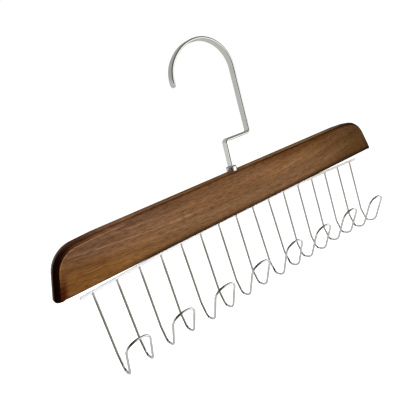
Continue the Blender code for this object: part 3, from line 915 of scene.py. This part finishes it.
def sweep(name, points, radii):
    """A round rod through points, with a radius for each. The first direction is carried along
    without twisting."""
    shape = bmesh.new()
    rings = []
    normal = None
    for i, (point, radius) in enumerate(zip(points, radii)):
        forward = (points[min(i + 1, len(points) - 1)] - points[max(i - 1, 0)]).normalized()
        if normal is None:
            normal = forward.orthogonal()
        normal = (normal - forward * normal.dot(forward)).normalized()
        binormal = forward.cross(normal)
        rings.append([])
        for k in range(ROUND_SIDES):
            angle = 2 * math.pi * k / ROUND_SIDES
            rings[-1].append(shape.verts.new(
                point + radius * (math.cos(angle) * normal + math.sin(angle) * binormal)))
    join_rings(shape, rings)
    return mesh_from(name, shape)


stations = [(along - RAIL_HALF_LENGTH, radius) for along, radius in rail_stations()]
rail_points = [Vector((x, 0, rail_height(x))) for x, _ in stations]
rail = sweep("rail_rod", rail_points, [radius for _, radius in stations])
dress(rail, rail_plate)
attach(rail, "rack")
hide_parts("rack_rail")
print("rail from", round(rail_points[0].x, 4), "to", round(rail_points[-1].x, 4))

# %% [markdown]
# ## The belt hooks: a leg and its J
# Each belt hook is one wire: down, a small kink forward, a J under it, up a leaning prong, round the
# loop and back the same way. Both sides are alike, so the path is made in two parts, the side of a
# leg and the loop in front. A few of the real hooks have slightly longer or shorter legs, and these
# have too.

# %% Bend a leg and its J
WIRE_LEG = 0.0552
LEG_TRIM_SHARES = {1: -0.026, 3: 0.016, 6: 0.01, 7: -0.012}
KINK_ANGLE = 17.0
KINK_BEND = 0.008
KINK_TO_CRADLE = 0.0092
CRADLE_REAR_BEND = 0.0036
CRADLE_FLAT = 0.0026
CRADLE_FRONT_BEND = 0.0094
PRONG_LEAN = 29.5
WELD_REACH = 0.0016
WELD_STEPS = 4


def hook_side(number):
    """One leg and its J, as (forward, up) from the rail's centre, with short steps at the weld."""
    path = BendPath((0.0, 0.0), 180.0)
    leg = WIRE_LEG * (1 + LEG_TRIM_SHARES.get(number, 0.0))
    path.straight(RAIL_RADIUS)
    for _ in range(WELD_STEPS):
        path.straight(WELD_REACH / WELD_STEPS)
    path.straight(leg + path.points[-1][1] - bend_allowance(KINK_BEND, KINK_ANGLE))
    path.bend(KINK_BEND, -KINK_ANGLE)
    path.straight(KINK_TO_CRADLE)
    path.bend(CRADLE_REAR_BEND, 90 - path.heading)
    path.straight(CRADLE_FLAT)
    path.bend(CRADLE_FRONT_BEND, PRONG_LEAN - path.heading)
    return path.points


lowest = min(up_now for _, up_now in hook_side(2))
print("a J hangs", round(-1000 * lowest, 1), "mm below the rail's middle")

# %% [markdown]
# ## The belt hooks: the loop
# The loop in front is the end of a U: two corners and a wider crown between them. A half circle
# would be quicker to write, but the real loop is a little flatter across its top.

# %% Bend the loop
PRONG_LENGTH = 0.0268
LOOP_CORNER = 0.0078
LOOP_RISE = 0.0030
LOOP_CROWN = 0.0135


def hook_loop():
    """The loop in front, as (across, along the prong)."""
    corner_turn = 90 - math.degrees(math.atan2(LOOP_RISE, LEG_PITCH / 2))
    crown_turn = 180 - 2 * corner_turn
    slope = math.hypot(LOOP_RISE, LEG_PITCH / 2)
    corner_allowance = bend_allowance(LOOP_CORNER, corner_turn)
    run = slope - corner_allowance - bend_allowance(LOOP_CROWN, crown_turn)
    path = BendPath((0.0, 0.0), 0.0)
    path.straight(PRONG_LENGTH - corner_allowance)
    path.bend(LOOP_CORNER, corner_turn)
    path.straight(run)
    path.bend(LOOP_CROWN, crown_turn)
    path.straight(run)
    path.bend(LOOP_CORNER, corner_turn)
    path.straight(PRONG_LENGTH - corner_allowance)
    return path.points


print("the loop is", round(1000 * max(across_now for across_now, _ in hook_loop()), 1), "mm wide")

# %% [markdown]
# ## The belt hooks: in place
# The two parts are joined and hung from the rail, and a ring is carried along the whole wire. Three
# of the real hooks lean a little forward or back, and so do these. A weld leaves a small fillet, so
# the radius swells where the wire meets the rail: that is simpler than a fillet of its own, which
# would have to be joined to both.

# %% Sweep the belt hooks
WIRE_RADIUS = 0.001
WELD_SWELL = 0.00025
HOOK_LEAN = {2: 2.0, 5: -2.0, 8: -1.1}


def hook_points(number):
    left = FIRST_LEG + 2 * (number - 1) * LEG_PITCH
    legs = hook_side(number)
    foot_forward, foot_up = legs[-1]
    lean = math.radians(PRONG_LEAN)
    flat = [(0.0, forward, up_now) for forward, up_now in legs]
    flat += [(across_now, foot_forward + along_now * math.sin(lean), foot_up + along_now * math.cos(lean))
             for across_now, along_now in hook_loop()[1:-1]]
    flat += [(LEG_PITCH, forward, up_now) for forward, up_now in reversed(legs)]
    tilt = Matrix.Rotation(math.radians(HOOK_LEAN.get(number, 0.0)), 4, "X")
    points = []
    for across_now, forward, up_now in flat:
        share = across_now / LEG_PITCH
        level = rail_height(left) * (1 - share) + rail_height(left + LEG_PITCH) * share
        points.append(Vector((left + across_now, 0, level)) + tilt @ Vector((0, -forward, up_now)))
    return points


def weld_radii(points):
    """The wire's radius at each point, swollen where a leg meets the rail."""
    radii = []
    for i, point in enumerate(points):
        weld = points[0] if i < len(points) / 2 else points[-1]
        closeness = max(0.0, 1 - max(0.0, (weld - point).length - RAIL_RADIUS) / WELD_REACH)
        radii.append(WIRE_RADIUS + WELD_SWELL * closeness ** 2)
    return radii


for number in range(1, HOOK_COUNT + 1):
    points = hook_points(number)
    wire = sweep("wire_hook_" + str(number), points, weld_radii(points))
    dress(wire, wire_plate)
    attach(wire, "rack")
    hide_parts("belt_hook_" + str(number))
print("belt hooks", HOOK_COUNT, "points in one", len(points))

# %% [markdown]
# ## The solids that stay
# The bar, the ferrule, the stem, the washer and the pegs keep their solids, which have the right
# shape. Their finishes are given above.

# %% [markdown]
# ## The floor
# The ground of the photograph is white and has no shadow on it. The floor is a large plane well
# below the hanger, and it glows white for the camera alone, so no shadow shows and no light from it
# reaches the hanger. A curved backdrop could do this too, but it would suit one view only.

# %% Lay the floor
FLOOR_DROP = 0.35
FLOOR_HALF_WIDTH = 12
WHITE_GROUND = 1.02


def sight_share(tree):
    """1 for a ray from the camera and 0 for any other."""
    return tree.add("ShaderNodeLightPath", output="Is Camera Ray")


floor_mesh = bpy.data.meshes.new("floor")
shape = bmesh.new()
bmesh.ops.create_grid(shape, x_segments=1, y_segments=1, size=FLOOR_HALF_WIDTH)
shape.to_mesh(floor_mesh)
shape.free()
floor = bpy.data.objects.new("floor", floor_mesh)
floor.location.z = cad_box[0].z - FLOOR_DROP
bpy.context.scene.collection.objects.link(floor)
floor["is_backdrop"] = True
pale = Finish("pale_floor")
dress(floor, pale.set(base_color=(0.85, 0.85, 0.85), roughness=0.9,
                      emission_color=sight_share(pale), emission_strength=WHITE_GROUND))
floor.visible_glossy = False
floor.visible_diffuse = False
print("floor at", round(floor.location.z, 3))

# %% [markdown]
# ## The room
# Plate shows the room, so the room is drawn in soft steps of grey: bright low in front and duller
# underneath, dark higher up in front, grey behind, and dark around the camera and at a flag to the
# right. The dark parts draw the thin dark lines in the plated pieces. A picture of a studio could do
# this, but steps can be moved one by one. A Light Path node sets three kinds of ray apart: what the
# camera sees behind the hanger, what the plate reflects, and what fills the shadows on the wood.

# %% Draw the room
IN_FRONT = 1.25
UNDERNEATH_LOSS = 0.63
ABOVE_IN_FRONT = 0.12
BEHIND = 0.56
ABOVE_BEHIND = 0.42
FLAG_LEVEL = 0.12
CAMERA_LEVEL = 0.05
FILL = 0.08
TOWARD_CAMERA = (-0.55, -0.83, -0.05)
TOWARD_FLAG = (0.68, 0.73, 0.10)


def toward(tree, direction, target, low, high):
    """1 for directions near the target and 0 away from it, by the cosine between them."""
    nearness = tree.add("ShaderNodeVectorMath", {"operation": "DOT_PRODUCT"},
                        {0: direction, 1: Vector(target).normalized()}, output="Value")
    return tree.step(nearness, low, high)


def blend_levels(share, first, second):
    return first * (1 - share) + second * share


world = bpy.data.worlds.new("studio")
bpy.context.scene.world = world
world.use_nodes = True
room = Tree(world.node_tree)
direction = room.add("ShaderNodeTexCoord", output="Generated")
_, ray_depth, ray_height = room.split(direction)
underneath = room.step(-1 * ray_height, 0.30, 0.60)
around_camera = toward(room, direction, TOWARD_CAMERA, 0.70, 0.86) * (1 - underneath)
right_flag = toward(room, direction, TOWARD_FLAG, 0.88, 0.95) * room.step(ray_height, -0.12, -0.04)

in_front = blend_levels(room.step(ray_height, 0.10, 0.22), IN_FRONT - UNDERNEATH_LOSS * underneath,
                        ABOVE_IN_FRONT)
behind = blend_levels(room.step(ray_height, 0.12, 0.28), BEHIND, ABOVE_BEHIND)
reflected = blend_levels(room.step(ray_depth, -0.1, 0.15), in_front, behind)
reflected = blend_levels(right_flag, reflected, FLAG_LEVEL)
reflected = blend_levels(around_camera, reflected, CAMERA_LEVEL)

seen = sight_share(room)
glossy = room.add("ShaderNodeLightPath", output="Is Glossy Ray")
brightness = seen * WHITE_GROUND + glossy * reflected + (1 - seen) * (1 - glossy) * FILL
background = world.node_tree.nodes["Background"]
room.feed(background.inputs["Color"], (1, 1, 1))
room.feed(background.inputs["Strength"], brightness)
print("room nodes", len(room.nodes))

# %% [markdown]
# ## The lamps
# The light is soft and comes from three square soft boxes. The key in front makes the face of the
# bar the brightest part of it, a weaker one hangs overhead, and one at the left rear lights the
# back. Point lamps would cast hard shadows of the wires. The plate doesn't show the boxes, because
# the room already gives it what it reflects.

# %% Hang the soft boxes
LAMP_AIM = Vector((0, 0, -0.12))
SOFT_BOXES = (  # name, place, width, power in watts
    ("front_soft_box", Vector((0.7, -1.5, 0.1)), 0.9, 34),
    ("overhead_soft_box", Vector((0.2, -0.5, 1.3)), 1.0, 18),
    ("rear_soft_box", Vector((-1.1, 1.1, -0.12)), 0.9, 26),
)

for name, place, width, power in SOFT_BOXES:
    lamp = bpy.data.lights.new(name, "AREA")
    lamp.shape = "SQUARE"
    lamp.size = width
    lamp.energy = power
    soft_box = bpy.data.objects.new(name, lamp)
    bpy.context.scene.collection.objects.link(soft_box)
    soft_box.location = place
    soft_box.rotation_mode = "QUATERNION"
    soft_box.rotation_quaternion = (LAMP_AIM - place).to_track_quat("-Z", "Y")
    soft_box.visible_glossy = False

# %% [markdown]
# ## Size
# The dressed hanger should stay as big as its solids, so how far each side of its box has grown is
# printed.

# %% Print how the size has grown
new_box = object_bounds()
grown = [round(1000 * (b - a), 2) for a, b in zip((*cad_box[0], *cad_box[1]), (*new_box[0], *new_box[1]))]
print("grown by mm", grown)
